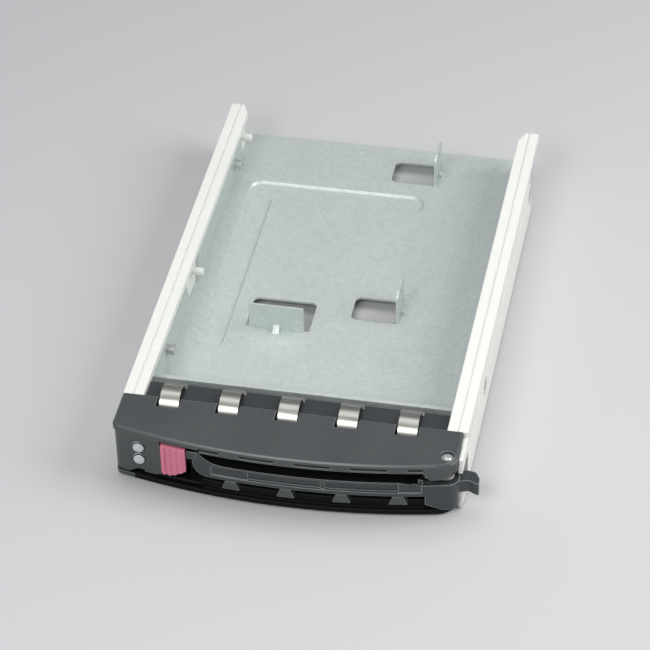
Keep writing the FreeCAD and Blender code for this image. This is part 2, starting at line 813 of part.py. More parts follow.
def make_bezel():
    tools = []
    left_wall = -half + s.tongue_thick + s.fit_gap
    tools.append(box("TongueRoom", (-half - 1, left_wall), (-s.tongue_reach - s.fit_gap, seam + 1),
                     (-1, plate_low)))
    for number, middle in enumerate(finger_middles(), start=1):
        reach = s.finger_width / 2 + s.notch_play
        tools.append(box("Notch%d" % number, (middle - reach, middle + reach), (seam - s.notch_depth, seam),
                         (plate_low - s.plate * 2, top + 1)))
    for number in range(4):
        middle = -s.finger_first + s.finger_pitch * (number + 0.5)
        tools.append(box("AirWindow%d" % number, (middle - s.finger_width, middle + s.finger_width),
                         (back - s.shell - 1, back + 1),
                         (s.base_plate, small_screw_height - s.small_screw_radius * 2)))
    for name, height in (("Upper", s.upper_lamp), ("Lower", s.lower_lamp)):
        tools.append(rod(name + "LampHole", s.lamp_radius + s.running_gap, s.bezel_reach / 4,
                         (-lamp_x, -s.bezel_reach, height), "Y"))
    tools.append(rod("PinRecess", s.pin_recess, s.pin_recess_deep + 1, (*pin_at, top - s.pin_recess_deep)))
    tools.append(rod("PinBore", s.pin_radius, top, (*pin_at, s.pin_seat)))
    for side, word in sides:
        axis = "-X" if side > 0 else "X"
        edge = web_in if side > 0 else -web_in
        tools.append(rod("BossHole" + word, s.small_screw_radius, s.small_screw_length,
                         (edge, -s.small_screw_place, small_screw_height), axis))
    tools.extend(lip_slots())
    blank = fuse("BezelBlank", *bezel_shell(), *lamp_block())
    keep("bezel", cut("Bezel", blank, *tools))


# The lever, its pin and spring

def face_cut(name, left, right, low, high, depth):
    """A shallow pocket in the lever's bowed face."""
    return band(name, s.lever_setback - 1, sized(depth) + 1, (left, right), (low, high))


def lever_hook():
    """A claw in plan: a hollow front, a curled tip and a flat rear that pulls on the bay."""
    front = -s.pin_y - s.pin_radius / 2
    tip = half + s.hook_reach
    rear = -s.pin_y + s.knuckle * 1.2
    outline = (
        (pin_x, front),
        (half, front),
        (half + s.hook_reach * 0.36, front + s.lip / 2),
        (half + s.hook_reach * 0.76, front - s.lip * 0.2),
        (tip, front - s.lip * 0.4),
        (tip - s.lip * 0.1, front + s.lip * 1.3),
        (half + s.hook_reach * 0.7, rear - s.lip * 0.3),
        (half + s.lip / 2, rear),
        (pin_x, rear - s.lip),
    )
    rounds = ((2, s.lip), (3, s.lip), (5, s.lip), (6, s.lip))
    return prism("Hook", "XY", outline, (s.hook_low, s.hook_high), rounds)


def make_lever():
    inner = s.lever_depth
    deep = (-s.bezel_reach - 1, -s.pin_y)
    tip = -s.lever_tip
    rise = s.lever_tip_high - s.lever_high
    arm_outline = (
        (pin_x, s.lever_low),
        (pin_x, s.knuckle_high),
        (s.pad_right, s.knuckle_high),
        (s.label_right, s.lever_high),
        (tip + inner * 2, s.lever_high),
        (tip + inner * 1.4, s.lever_high + rise * 0.1),
        (tip + inner * 0.95, s.lever_high + rise * 0.36),
        (tip + inner * 0.6, s.lever_high + rise * 0.72),
        (tip + inner * 0.42, s.lever_tip_high),
        (tip, s.lever_tip_high),
        (tip, s.lever_low),
    )
    blade = prism("LeverFace", "XZ", arm_outline, deep, ((10, inner),))
    arm_x = (tip, pin_x)
    arm_z = (s.lever_low, s.lever_tip_high)
    arm = common("LeverArm", blade, band("LeverBand", s.lever_setback, s.lever_depth, arm_x, arm_z))
    latch_front = -s.bezel_reach + s.bow * 0.36
    tongue = box("LeverTongue", (-s.button_right + s.slide_gap, -s.lever_tip + s.lever_tip_width / 2),
                 (latch_front, latch_front + s.lip * 1.5), (s.stem_high, s.lever_tip_high))
    post_x = (s.mouth_right + s.slide_gap * 2, pin_x + s.knuckle)
    slab = band("PostBand", s.lever_setback, s.lever_depth, post_x, (s.knuckle_low, s.knuckle_high))
    column = round_edges("PostRound", slab, s.lever_depth * 0.9,
                         lambda e: upright(e) and e.CenterOfMass.x > pin_x.value
                         and e.CenterOfMass.y < -s.pin_y.value - 1)
    foot_outline = (
        (post_x[0], s.knuckle_low + s.foot_rise),
        (post_x[0] + s.foot_left, s.knuckle_low),
        (post_x[1], s.knuckle_low),
        (post_x[1], s.knuckle_high),
        (post_x[0], s.knuckle_high),
    )
    post = common("Post", column, prism("PostSide", "XZ", foot_outline, (-s.bezel_reach - 1, seam)))
    knuckle = rod("Knuckle", s.knuckle, s.knuckle_high - s.knuckle_low, (*pin_at, s.knuckle_low))
    boss_rear = -s.pin_y - s.coil_radius - s.wire / 2 - s.slide_gap
    boss = box("SpringBoss", (pin_x - s.knuckle * 2.2, pin_x - s.knuckle * 1.8),
               (boss_rear - s.lip, boss_rear), (s.knuckle_high - 1, s.knuckle_high + s.lip))
    low = s.lever_low + s.lower_rim
    high = s.lever_high - s.upper_rim
    tools = [
        face_cut("FaceSink", -s.pad_left, s.pad_right, low, high, s.face_sink),
        face_cut("LabelLeft", -s.label_left, s.divider_left, low, high, s.label_sink),
        face_cut("LabelRight", s.divider_right, s.label_right, low, high, s.label_sink),
        band("RearChannel", s.lever_setback + s.label_sink + s.lip, s.lever_depth,
             (-s.pad_left, s.label_right),
             (s.lever_low + s.lip * 0.9, s.lever_high - s.lip * 0.9)),
        rod("LeverBore", s.pin_radius + s.running_gap, top, (*pin_at, 0)),
    ]
    keep("lever", cut("Lever", fuse("LeverBlank", arm, tongue, post, knuckle, lever_hook(), boss), *tools))


def make_pin():
    shank = rod("PinShank", s.pin_radius, top - s.pin_recess_deep - s.pin_seat, (*pin_at, s.pin_seat))
    head = rod("PinHead", s.pin_head, s.pin_head_high, (*pin_at, top - s.pin_recess_deep))
    keep("lever_pivot_pin", fuse("PivotPin", shank, head))


def coil(name, label, pitch, turns, radius, wire, leg, base):
    """A wire spring: turns of a helix in short straight steps, with straight legs in line with its ends."""
    steps = 12
    path = []
    for step in range(int(turns * steps) + 1):
        angle = 2 * math.pi * step / steps
        path.append(FreeCAD.Vector(radius * math.cos(angle), radius * math.sin(angle), pitch * step / steps))
    if leg:
        finish = 2 * math.pi * turns
        along = FreeCAD.Vector(-math.sin(finish), math.cos(finish), 0)
        path.insert(0, path[0] - FreeCAD.Vector(0, leg, 0))
        path.append(path[-1] + along * leg)
    across = path[1] - path[0]
    ring = Part.Circle(path[0], across, wire / 2).toShape()
    corners = ring.discretize(7)
    profile = Part.makePolygon(corners)
    item = doc.addObject("Part::Feature", name)
    item.Shape = Part.makePolygon(path).makePipeShell([profile], True, False, 1)
    item.Placement = base
    keep(label, item)


def make_springs():
    wire = s.wire.value
    pitch = wire * 1.15
    low = s.knuckle_high.value + s.slide_gap.value + wire
    turn = FreeCAD.Rotation(FreeCAD.Vector(0, 0, 1), -90)
    base = FreeCAD.Placement(FreeCAD.Vector(pin_x.value, -s.pin_y.value, low), turn)
    reach = s.knuckle.value * 2
    coil("LeverSpring", "lever_spring", pitch, 2.5, s.coil_radius.value, wire, reach, base)
    stem_left = -s.button_left.value + s.stem_place.value
    length = stem_left + s.lamp_face.value
    wire = s.button_wire.value
    turns = 3.0
    middle = (s.stem_low.value + s.stem_high.value) / 2
    depth = -s.bezel_reach.value + s.bow.value + s.button_coil.value + s.wire.value
    at = FreeCAD.Vector(-s.lamp_face.value + wire / 2, depth, middle)
    base = FreeCAD.Placement(at, TURNS["X"])
    coil("ButtonSpring", "button_spring", (length - wire) / turns, turns, s.button_coil.value, wire, 0, base)


# The release button

def make_button():
    left = -s.button_left
    outline = (
        (left, s.button_low),
        (left + s.button_flat, s.button_low),
        (-s.button_right, s.button_low + s.button_rise),
        (-s.button_right, button_high),
        (left, button_high),
    )
    blade = prism("ButtonFace", "XZ", outline, (-s.bezel_reach - 3, -s.pin_y),
                  ((0, s.rim_width), (1, s.button_flat)))
    wide = (left, -s.button_right)
    tall = (s.button_low, button_high)
    solids = [band("ButtonBand", -s.button_proud, s.button_thick, wide, tall)]
    for number in range(3):
        start = left + s.rib_first + s.rib_pitch * number
        solids.append(band("ButtonRib%d" % number, -s.button_proud - s.rib_proud, s.button_thick,
                           (start, start + s.rib_width), tall))
    solids.append(band("ButtonRim", -s.button_proud - s.rim_proud, s.button_thick,
                       (left, left + s.rim_width), tall))
    cap = common("ButtonCap", fuse("ButtonBlank", *solids), blade)
    stem_left = left + s.stem_place
    stem = box("ButtonStem", (stem_left, stem_left + s.stem_width),
               (-s.bezel_reach + s.bow / 2, -s.pin_y + s.lever_depth - s.slide_gap),
               (s.stem_low, s.stem_high))
    keep("release_button", fuse("ReleaseButton", cap, stem))


# The light pipes of the lamps

def light_pipe(word, lamp, low, column):
    high = low + s.pipe
    inner = -half + s.pipe
    left = -lamp_x - s.pipe / 2
    right = -lamp_x + s.pipe / 2
    slant = left - (-half)
    outline = (
        (left, column),
        (left, column + s.pipe),
        (-half, column + s.pipe + slant),
        (-half, s.lower_wall_end),
        (inner, s.lower_wall_end),
        (inner, column + s.pipe * 1.414 + slant),
        (right, column + s.pipe * 1.414),
        (right, column),
    )
    run = prism(word + "Run", "XY", outline, (low, high))
    riser = box(word + "Riser", (left, right), (column, column + s.pipe), (low, lamp + s.pipe))
    start = lamp_y - s.lens_proud
    lens = rod(word + "Lens", s.lamp_radius, column - start, (-lamp_x, start, lamp), "Y")
    keep(word.lower() + "_light_pipe", fuse(word + "LightPipe", run, riser, lens))


# The contact fingers

def spring_finger(number, middle):
    """A clip that hooks over the shelf's rear edge and arches forward into its notch."""
    name = "Finger%d" % number
    x = (middle - s.finger_width / 2, middle + s.finger_width / 2)
    upper = plate_low + s.clip_thick
    arch_at = (seam + s.arch_radius / 2, plate_low - s.arch_radius / 2)
    outer = rod(name + "Outer", s.arch_radius, s.finger_width, (x[0], *arch_at), "X")
    inner = rod(name + "Inner", s.arch_radius - s.clip_thick, s.finger_width, (x[0], *arch_at), "X")
    ring = cut(name + "Ring", outer, inner)
    rear = arch_at[0] + s.arch_radius * 0.8
    above = box(name + "Above", x, (arch_at[0] - s.arch_radius, rear), (plate_low, top + s.arch_radius))
    front = box(name + "Front", x, (arch_at[0] - s.arch_radius, arch_at[0]), (arch_at[1], plate_low))
    arch = common(name + "Arch", ring, fuse(name + "Room", above, front))
    strap = box(name + "Strap", x, (rear - s.arch_radius * 0.1, -s.bezel_back + s.clip_thick),
                (plate_low, upper))
    wide = (x[0] - s.finger_ear, x[1] + s.finger_ear)
    ears = box(name + "Ears", wide, (rear - s.arch_radius * 0.1, back), (plate_low, upper))
    leg = box(name + "Leg", x, (back, back + s.clip_thick), (plate_low - s.arch_radius, upper))
    keep("spring_finger_%d" % number, fuse(name, arch, strap, ears, leg))


# The screws

def screw(name, head, deep, radius, length, at, axis):
    cone = taper(name + "Head", head, radius, deep, at, axis)
    shank = rod(name + "Shank", radius, length, at, axis)
    return fuse(name, cone, shank)


def make_screws():
    large = []
    small = []
    for side, word in sides:
        axis = "-X" if side > 0 else "X"
        face = half if side > 0 else -half
        groove = web_out if side > 0 else -web_out
        for number, place_y in enumerate(pan_screw_places, start=1):
            large.append(screw("PanScrew%s%d" % (word, number), s.screw_head, s.screw_head_deep,
                               s.screw_radius,
                               screw_length, (face, place_y, screw_height), axis))
        small.append(screw("RailScrew" + word, s.small_screw_head, s.small_screw_deep, s.small_screw_radius,
                           s.small_screw_length, (groove, -s.small_screw_place, small_screw_height), axis))
    for label, name, group in (("pan_screws", "PanScrews", large), ("rail_screws", "RailScrews", small)):
        item = doc.addObject("Part::Compound", name)
        item.Links = group
        keep(label, item)


make_pan()
for side, word in sides:
    make_rail(side, word)
make_bezel()
make_lever()
make_pin()
make_springs()
make_button()
light_pipe("Lower", s.lower_lamp, s.lower_pipe_low, lamp_y + s.lamp_wall + s.slide_gap)
light_pipe("Upper", s.upper_lamp, s.upper_pipe_low, lamp_y + s.lamp_wall + s.slide_gap + s.pipe * 2.6)
for number, middle in enumerate(finger_middles(), start=1):
    spring_finger(number, middle)
make_screws()
doc.recompute()

for item in doc.Objects:
    if "Invalid" in item.State or "Error" in item.State:
        raise RuntimeError("%s failed: %s" % (item.Name, item.State))
os.makedirs("parts", exist_ok=True)
for label, item in nodes.items():
    shape = item.Shape
    if shape.isNull() or not shape.isValid() or not shape.Solids:
        raise RuntimeError(label + " has no valid solid")
    shape.exportStep(os.path.join("parts", label + ".step"))
    box_size = shape.BoundBox
    print("%-18s solids %d volume %9.1f  x %7.2f %7.2f  y %7.2f %7.2f  z %6.2f %6.2f" % (
        label, len(shape.Solids), shape.Volume, box_size.XMin, box_size.XMax,
        box_size.YMin, box_size.YMax, box_size.ZMin, box_size.ZMax))
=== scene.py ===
# %% [markdown]
# # A drive bay adapter, dressed for its photograph
# The construction model already holds every rigid piece at its real size: the bezel, the lever, the rails
# and the folded pan. This lesson loads it as a fixed frame, gives each piece a finish that follows the real
# material, adds the small details that are easier by hand in Blender, and sets up a camera and lights like
# those of the photograph.

# %% Load the frame
import math
import bpy
from mathutils import Matrix, Vector


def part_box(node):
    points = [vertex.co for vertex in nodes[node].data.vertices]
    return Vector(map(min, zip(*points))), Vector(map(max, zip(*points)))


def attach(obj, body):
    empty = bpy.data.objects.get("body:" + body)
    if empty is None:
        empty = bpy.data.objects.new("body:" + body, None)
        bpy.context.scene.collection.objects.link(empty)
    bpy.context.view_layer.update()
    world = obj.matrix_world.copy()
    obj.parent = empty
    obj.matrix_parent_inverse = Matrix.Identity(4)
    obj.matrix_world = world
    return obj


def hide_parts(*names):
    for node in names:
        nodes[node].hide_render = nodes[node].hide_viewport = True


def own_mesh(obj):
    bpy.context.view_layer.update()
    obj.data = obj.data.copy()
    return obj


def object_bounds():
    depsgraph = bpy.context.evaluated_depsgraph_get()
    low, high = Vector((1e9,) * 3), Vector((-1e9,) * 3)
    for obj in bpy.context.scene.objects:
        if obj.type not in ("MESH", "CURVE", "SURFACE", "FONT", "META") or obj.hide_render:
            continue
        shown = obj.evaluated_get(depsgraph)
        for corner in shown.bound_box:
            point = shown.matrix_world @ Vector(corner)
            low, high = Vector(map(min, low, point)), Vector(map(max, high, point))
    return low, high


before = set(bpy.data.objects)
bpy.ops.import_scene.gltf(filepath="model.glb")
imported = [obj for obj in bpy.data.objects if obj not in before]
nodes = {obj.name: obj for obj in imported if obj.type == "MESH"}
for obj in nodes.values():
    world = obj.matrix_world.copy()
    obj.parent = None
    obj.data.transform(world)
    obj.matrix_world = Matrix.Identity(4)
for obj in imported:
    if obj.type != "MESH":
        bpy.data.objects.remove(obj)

cad_box = [list(corner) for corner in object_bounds()]
print("pieces in the frame:", len(nodes), "box", [[round(v, 4) for v in c] for c in cad_box])

# %% [markdown]
# ## The camera
# The camera was worked out from the straight edges of the rails and the pan: it looks down at about 39
# degrees, a little from the right, through a long lens. The photograph is a crop, so its optical axis is
# off the middle, and the lens shift moves the picture by just that much.

# %% Camera
AZIMUTH = math.radians(11.528)
ELEVATION = math.radians(39.259)
ROLL = math.radians(1.11)
FOCAL_PIXELS = 2924.5
FRAME_PIXELS = 650
SHIFT_PIXELS = (-23.2, -45.1)
SENSOR = 36.0
DISTANCE = 0.9908
target = Vector((0.0, 0.070, 0.004))
flat = math.cos(ELEVATION)
back = Vector((math.sin(AZIMUTH) * flat, -math.cos(AZIMUTH) * flat, math.sin(ELEVATION)))
level = Vector((math.cos(AZIMUTH), math.sin(AZIMUTH), 0.0))
above = back.cross(level)
right = level * math.cos(ROLL) - above * math.sin(ROLL)
up = level * math.sin(ROLL) + above * math.cos(ROLL)
lens_data = bpy.data.cameras.new("photo_camera")
camera = bpy.data.objects.new("photo_camera", lens_data)
bpy.context.scene.collection.objects.link(camera)
turn = Matrix((right, up, back)).transposed().to_4x4()
camera.matrix_world = Matrix.Translation(target + back * DISTANCE) @ turn
lens_data.sensor_width = SENSOR
lens_data.lens = FOCAL_PIXELS / FRAME_PIXELS * SENSOR
lens_data.shift_x = SHIFT_PIXELS[0] / FRAME_PIXELS
lens_data.shift_y = SHIFT_PIXELS[1] / FRAME_PIXELS
lens_data.clip_start = 0.05
lens_data.clip_end = 20.0
bpy.context.scene.camera = camera
print("lens", round(lens_data.lens, 1), "mm, eye at", [round(v, 3) for v in camera.location])

# %% [markdown]
# ## Floor and light
# A product photograph is lit by large soft boxes. Three area lights stand in for them: a broad one above,
# one high at the front for the bezel's face, and a strong one at the right, which lights the inside of the
# left wall as in the photograph and leaves the pan a little darker along the right rail. The floor is a
# plain pale grey sheet, a shade darker than the white rails so that they still stand out from it.

# %% Floor
FLOOR_SIZE = 4.0
FLOOR_GAP = 0.0005
bpy.ops.object.select_all(action="DESELECT")
bpy.ops.mesh.primitive_plane_add(size=FLOOR_SIZE, location=(0.0, 0.0, -FLOOR_GAP))
floor = bpy.context.object
floor.name = "floor"
paper = bpy.data.materials.new("pale_paper")
paper.use_nodes = True
paper_shader = paper.node_tree.nodes["Principled BSDF"]
paper_shader.inputs["Base Color"].default_value = (0.58, 0.585, 0.59, 1.0)
paper_shader.inputs["Roughness"].default_value = 0.8
floor.data.materials.append(paper)
print("floor laid")

# %% Lights
def soft_box(name, place, aim, size, watts):
    data = bpy.data.lights.new(name, "AREA")
    data.shape = "RECTANGLE"
    data.size, data.size_y = size
    data.energy = watts
    light = bpy.data.objects.new(name, data)
    bpy.context.scene.collection.objects.link(light)
    light.location = place
    light.rotation_mode = "QUATERNION"
    light.rotation_quaternion = (Vector(aim) - Vector(place)).to_track_quat("-Z", "Y")
    return light


soft_box("top_box", (-0.05, 0.20, 0.75), (-0.02, 0.05, 0.0), (0.6, 0.5), 1.5)
soft_box("front_box", (-0.10, -0.50, 0.52), (-0.02, 0.0, 0.0), (0.35, 0.25), 2.4)
soft_box("side_box", (0.52, 0.05, 0.44), (-0.02, 0.05, 0.0), (0.40, 0.45), 2.6)
world = bpy.data.worlds.new("studio")
bpy.context.scene.world = world
world.use_nodes = True
world.node_tree.nodes["Background"].inputs["Color"].default_value = (0.93, 0.95, 1.0, 1.0)
world.node_tree.nodes["Background"].inputs["Strength"].default_value = 0.32
bpy.context.scene.view_settings.view_transform = "Standard"

# %% [markdown]
# ## Shared effects
# Moulded plastic is never quite even: it has a fine spark-eroded grain and soft changes of gloss. One node
# group makes that for every plastic here, with its own scale and strength in each material. A second group
# paints a highlight along the edges: it compares a rounded normal with the real one and mixes in a pale
# tone where they differ. The outputs vary over the surface and feed colour, roughness and bump, while the
# shader itself stays in the material.

# %% Moulded grain group
def new_group(name, inputs, outputs):
    group = bpy.data.node_groups.new(name, "ShaderNodeTree")
    for label, kind, value in inputs:
        socket = group.interface.new_socket(label, in_out="INPUT", socket_type=kind)
        socket.default_value = value
    for label, kind in outputs:
        group.interface.new_socket(label, in_out="OUTPUT", socket_type=kind)
    return group, group.nodes.new("NodeGroupInput"), group.nodes.new("NodeGroupOutput")


def math_node(group, operation, first, second):
    node = group.nodes.new("ShaderNodeMath")
    node.operation = operation
    for socket, value in zip(node.inputs, (first, second)):
        if isinstance(value, (int, float)):
            socket.default_value = value
        else:
            group.links.new(value, socket)
    return node.outputs[0]


def noise_node(group, vector, scale, detail, rough):
    node = group.nodes.new("ShaderNodeTexNoise")
    node.inputs["Detail"].default_value = detail
    node.inputs["Roughness"].default_value = rough
    group.links.new(vector, node.inputs["Vector"])
    if isinstance(scale, (int, float)):
        node.inputs["Scale"].default_value = scale
    else:
        group.links.new(scale, node.inputs["Scale"])
    return node.outputs["Fac"]


grain, grain_in, grain_out = new_group(
    "moulded_grain",
    [("Base", "NodeSocketColor", (0.5, 0.5, 0.5, 1.0)), ("Pale", "NodeSocketColor", (0.6, 0.6, 0.6, 1.0)),
     ("Grain Scale", "NodeSocketFloat", 2600.0), ("Gloss", "NodeSocketFloat", 0.45),
     ("Gloss Drift", "NodeSocketFloat", 0.12)],
    [("Color", "NodeSocketColor"), ("Roughness", "NodeSocketFloat"), ("Height", "NodeSocketFloat")])
place = grain.nodes.new("ShaderNodeTexCoord").outputs["Object"]
fine = noise_node(grain, place, grain_in.outputs["Grain Scale"], detail=2.0, rough=0.6)
cloud = noise_node(grain, place, scale=60.0, detail=4.0, rough=0.55)
mixed = grain.nodes.new("ShaderNodeMix")
mixed.data_type = "RGBA"
grain.links.new(math_node(grain, "MULTIPLY", fine, cloud), mixed.inputs["Factor"])
grain.links.new(grain_in.outputs["Base"], mixed.inputs["A"])
grain.links.new(grain_in.outputs["Pale"], mixed.inputs["B"])
grain.links.new(mixed.outputs["Result"], grain_out.inputs["Color"])
swing = math_node(grain, "SUBTRACT", cloud, 0.5)
drift = math_node(grain, "MULTIPLY", swing, grain_in.outputs["Gloss Drift"])
grain.links.new(math_node(grain, "ADD", grain_in.outputs["Gloss"], drift), grain_out.inputs["Roughness"])
grain.links.new(fine, grain_out.inputs["Height"])
print("group", grain.name, "with", len(grain.nodes), "nodes")

# %% Painted edge highlight group
# Painted highlight: a pale tone mixed into the colour where the rounded normal turns away from the real one.
edge_highlight, edge_highlight_in, edge_highlight_out = new_group(
    "painted_edge_highlights",
    [("Color", "NodeSocketColor", (0.5, 0.5, 0.5, 1.0)), ("Edge", "NodeSocketColor", (0.7, 0.7, 0.7, 1.0)),
     ("Radius", "NodeSocketFloat", 0.00045), ("Strength", "NodeSocketFloat", 3.2)],
    [("Color", "NodeSocketColor"), ("Normal", "NodeSocketVector")])
rounded = edge_highlight.nodes.new("ShaderNodeBevel")
rounded.samples = 6
edge_highlight.links.new(edge_highlight_in.outputs["Radius"], rounded.inputs["Radius"])
facing = edge_highlight.nodes.new("ShaderNodeNewGeometry")
likeness = edge_highlight.nodes.new("ShaderNodeVectorMath")
likeness.operation = "DOT_PRODUCT"
edge_highlight.links.new(rounded.outputs["Normal"], likeness.inputs[0])
edge_highlight.links.new(facing.outputs["Normal"], likeness.inputs[1])
turned = math_node(edge_highlight, "MULTIPLY", math_node(edge_highlight, "SUBTRACT", 1.0, likeness.outputs["Value"]),
                   edge_highlight_in.outputs["Strength"])
paler = edge_highlight.nodes.new("ShaderNodeMix")
paler.data_type = "RGBA"
paler.clamp_factor = True
edge_highlight.links.new(turned, paler.inputs["Factor"])
edge_highlight.links.new(edge_highlight_in.outputs["Color"], paler.inputs["A"])
edge_highlight.links.new(edge_highlight_in.outputs["Edge"], paler.inputs["B"])
edge_highlight.links.new(paler.outputs["Result"], edge_highlight_out.inputs["Color"])
edge_highlight.links.new(rounded.outputs["Normal"], edge_highlight_out.inputs["Normal"])
print("group", edge_highlight.name, "with", len(edge_highlight.nodes), "nodes")

# %% [markdown]
# ## Plastics
# The bezel is a matt dark grey, its lever a little glossier, the rails a warm white and the button a dusky
# pink. All are the same kind of material with other numbers, so one short function makes them; the third
# colour of each is the painted highlight along its edges. The rounded normal of the edge group also softens
# the shading of the edges by a fraction of a millimetre, because moulded edges are never knife sharp.

# %% Plastic materials
GRAIN_DEPTH = 0.0002


def linear(red, green, blue):
    """Turns a colour picked from the photograph (0 to 255) into the linear values that shaders use."""
    values = []
    for channel in (red, green, blue):
        c = channel / 255.0
        values.append(c / 12.92 if c <= 0.04045 else ((c + 0.055) / 1.055) ** 2.4)
    return (*values, 1.0)


def plastic(name, base, pale, edge, gloss, grain_scale=2600.0, bump=0.06, specular=0.5):
    material = bpy.data.materials.new(name)
    material.use_nodes = True
    tree = material.node_tree
    shader = tree.nodes["Principled BSDF"]
    shader.inputs["Specular IOR Level"].default_value = specular
    effect = tree.nodes.new("ShaderNodeGroup")
    effect.node_tree = grain
    effect.inputs["Base"].default_value = base
    effect.inputs["Pale"].default_value = pale
    effect.inputs["Gloss"].default_value = gloss
    effect.inputs["Grain Scale"].default_value = grain_scale
    # This group paints the edge highlight into the base colour and passes on the rounded normal.
    edges = tree.nodes.new("ShaderNodeGroup")
    edges.node_tree = edge_highlight
    edges.inputs["Edge"].default_value = edge
    relief = tree.nodes.new("ShaderNodeBump")
    relief.inputs["Strength"].default_value = bump
    relief.inputs["Distance"].default_value = GRAIN_DEPTH
    tree.links.new(effect.outputs["Color"], edges.inputs["Color"])
    tree.links.new(edges.outputs["Color"], shader.inputs["Base Color"])
    tree.links.new(effect.outputs["Roughness"], shader.inputs["Roughness"])
    tree.links.new(effect.outputs["Height"], relief.inputs["Height"])
    tree.links.new(edges.outputs["Normal"], relief.inputs["Normal"])
    tree.links.new(relief.outputs["Normal"], shader.inputs["Normal"])
    return material


# The third colour of each plastic is its painted edge highlight.
bezel_grey = plastic("bezel_grey", linear(60, 64, 65), linear(92, 96, 96), linear(158, 162, 162), gloss=0.32)
lever_grey = plastic("lever_grey", linear(46, 50, 52), linear(74, 79, 80), linear(188, 192, 192),
                     gloss=0.20, grain_scale=3200.0, bump=0.03)
rail_white = plastic("rail_white", linear(234, 235, 228), linear(247, 248, 242), linear(250, 250, 247),
                     gloss=0.42, grain_scale=2200.0, bump=0.02)
button_pink = plastic("button_pink", linear(208, 106, 132), linear(230, 142, 164), linear(240, 170, 188),
                      gloss=0.32, grain_scale=2400.0, bump=0.03)
lens_milk = plastic("lens_milk", linear(190, 193, 194), linear(224, 226, 227), linear(230, 231, 231),
                    gloss=0.14, grain_scale=1500.0, bump=0.01)
# Painted shade: a darker grey for the lowered shelf, which lies in shadow behind the plate.
shelf_painted_shade = plastic("shelf_painted_shade", linear(42, 45, 47), linear(66, 70, 72), linear(96, 100, 101), gloss=0.40)
# Near-black painted shade for faces in shadow: the mouth, sill and foot, the lever's top under the lip and
# the lamp collars.
painted_shade_black = plastic("painted_shade_black", linear(14, 15, 16), linear(22, 23, 24), linear(52, 55, 56),
                       gloss=0.62, bump=0.04, specular=0.12)
plastics = (bezel_grey, lever_grey, rail_white, button_pink, lens_milk, shelf_painted_shade, painted_shade_black)
print("plastics", [m.name for m in plastics])

# %% [markdown]
# ## Metals
# The pan is galvanised sheet: a blue-grey steel with a faint spangle of zinc crystals, which is what a
# Voronoi texture draws. The contact fingers and screws are bright spring steel with fine drawing lines.

# %% Spangle and drawing-line groups
HAZE_SHARE = 0.30
CRYSTAL_SHARE = 0.25
SPECKLE_LEVEL = 0.34
SPECKLE_CONTRAST = 1.25
CRYSTAL_DULLING = 0.10
LINE_DULLING = 0.2
spangle, spangle_in, spangle_out = new_group(
    "zinc_spangle",
    [("Dark", "NodeSocketColor", (0.4, 0.4, 0.4, 1.0)), ("Light", "NodeSocketColor", (0.6, 0.6, 0.6, 1.0)),
     ("Crystal Scale", "NodeSocketFloat", 750.0), ("Gloss", "NodeSocketFloat", 0.4)],
    [("Color", "NodeSocketColor"), ("Roughness", "NodeSocketFloat"), ("Height", "NodeSocketFloat")])
place = spangle.nodes.new("ShaderNodeTexCoord").outputs["Object"]
crystal = spangle.nodes.new("ShaderNodeTexVoronoi")
spangle.links.new(place, crystal.inputs["Vector"])
spangle.links.new(spangle_in.outputs["Crystal Scale"], crystal.inputs["Scale"])
shade = spangle.nodes.new("ShaderNodeSeparateColor")
spangle.links.new(crystal.outputs["Color"], shade.inputs["Color"])
haze = noise_node(spangle, place, scale=35.0, detail=5.0, rough=0.6)
speckle = noise_node(spangle, place, scale=1800.0, detail=3.0, rough=0.6)
bright_grains = math_node(spangle, "SUBTRACT", speckle, SPECKLE_LEVEL)
sharp = math_node(spangle, "MULTIPLY", bright_grains, SPECKLE_CONTRAST)
fine_part = math_node(spangle, "ADD", math_node(spangle, "MULTIPLY", haze, HAZE_SHARE), sharp)
flakes = math_node(spangle, "MULTIPLY", shade.outputs["Red"], CRYSTAL_SHARE)
blend = math_node(spangle, "ADD", flakes, fine_part)
tone = spangle.nodes.new("ShaderNodeMix")
tone.data_type = "RGBA"
spangle.links.new(blend, tone.inputs["Factor"])
spangle.links.new(spangle_in.outputs["Dark"], tone.inputs["A"])
spangle.links.new(spangle_in.outputs["Light"], tone.inputs["B"])
spangle.links.new(tone.outputs["Result"], spangle_out.inputs["Color"])
dulling = math_node(spangle, "MULTIPLY", shade.outputs["Green"], CRYSTAL_DULLING)
gloss = math_node(spangle, "ADD", spangle_in.outputs["Gloss"], dulling)
spangle.links.new(gloss, spangle_out.inputs["Roughness"])
spangle.links.new(speckle, spangle_out.inputs["Height"])

drawn, drawn_in, drawn_out = new_group(
    "drawing_lines",
    [("Dark", "NodeSocketColor", (0.4, 0.4, 0.4, 1.0)), ("Light", "NodeSocketColor", (0.6, 0.6, 0.6, 1.0)),
     ("Gloss", "NodeSocketFloat", 0.3), ("Stretch", "NodeSocketVector", (1.0, 1.0, 1.0))],
    [("Color", "NodeSocketColor"), ("Roughness", "NodeSocketFloat"), ("Height", "NodeSocketFloat")])
place = drawn.nodes.new("ShaderNodeTexCoord").outputs["Object"]
pulled = drawn.nodes.new("ShaderNodeVectorMath")
pulled.operation = "MULTIPLY"
drawn.links.new(place, pulled.inputs[0])
drawn.links.new(drawn_in.outputs["Stretch"], pulled.inputs[1])
lines = noise_node(drawn, pulled.outputs["Vector"], scale=1500.0, detail=3.0, rough=0.6)
tone = drawn.nodes.new("ShaderNodeMix")
tone.data_type = "RGBA"
drawn.links.new(lines, tone.inputs["Factor"])
drawn.links.new(drawn_in.outputs["Dark"], tone.inputs["A"])
drawn.links.new(drawn_in.outputs["Light"], tone.inputs["B"])
drawn.links.new(tone.outputs["Result"], drawn_out.inputs["Color"])
